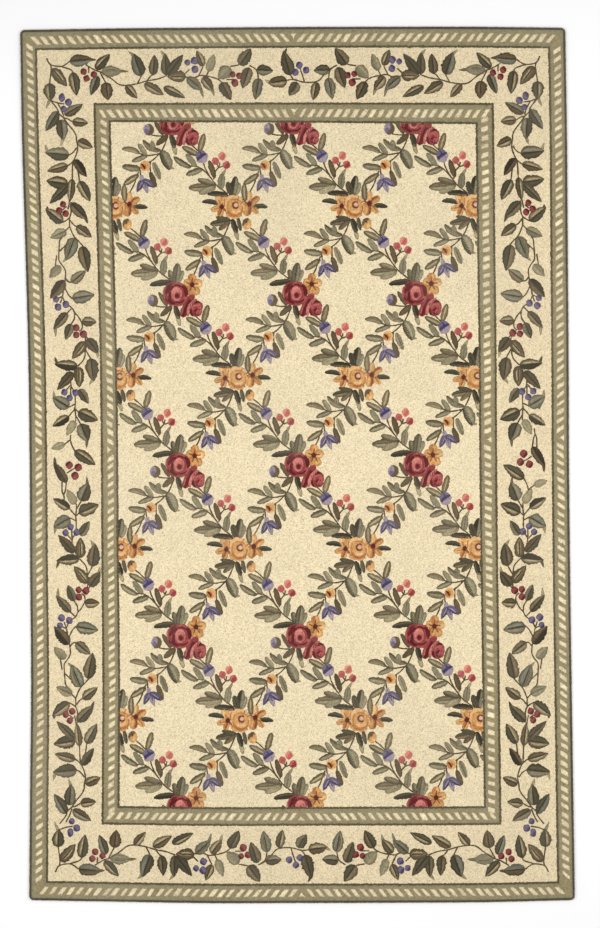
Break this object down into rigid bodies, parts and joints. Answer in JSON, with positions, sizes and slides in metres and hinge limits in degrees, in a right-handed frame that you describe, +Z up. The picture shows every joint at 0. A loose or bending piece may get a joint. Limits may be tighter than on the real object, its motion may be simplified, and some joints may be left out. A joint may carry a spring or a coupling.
{
  "type": "hooked rug",
  "caption": "Rectangular hooked wool area rug with looped pile and a whipped edge, lying flat, a little out of square.",
  "frame": {"origin": "middle of the underside, on the floor", "axes": "+Z up out of the pile, +Y along the length to the top of the pattern, +X to the right seen from above"},
  "size_m": [1.5527, 2.4519, 0.0095],
  "materials": {
    "hooked_wool": "matt looped wool",
    "whipped_edge": "matt whipped wool yarn"
  },
  "bodies": {
    "root": {"hooked_body": "hooked_wool", "edge_top": "whipped_edge", "edge_foot": "whipped_edge", "edge_left": "whipped_edge", "edge_right": "whipped_edge"}
  },
  "joints": []
}
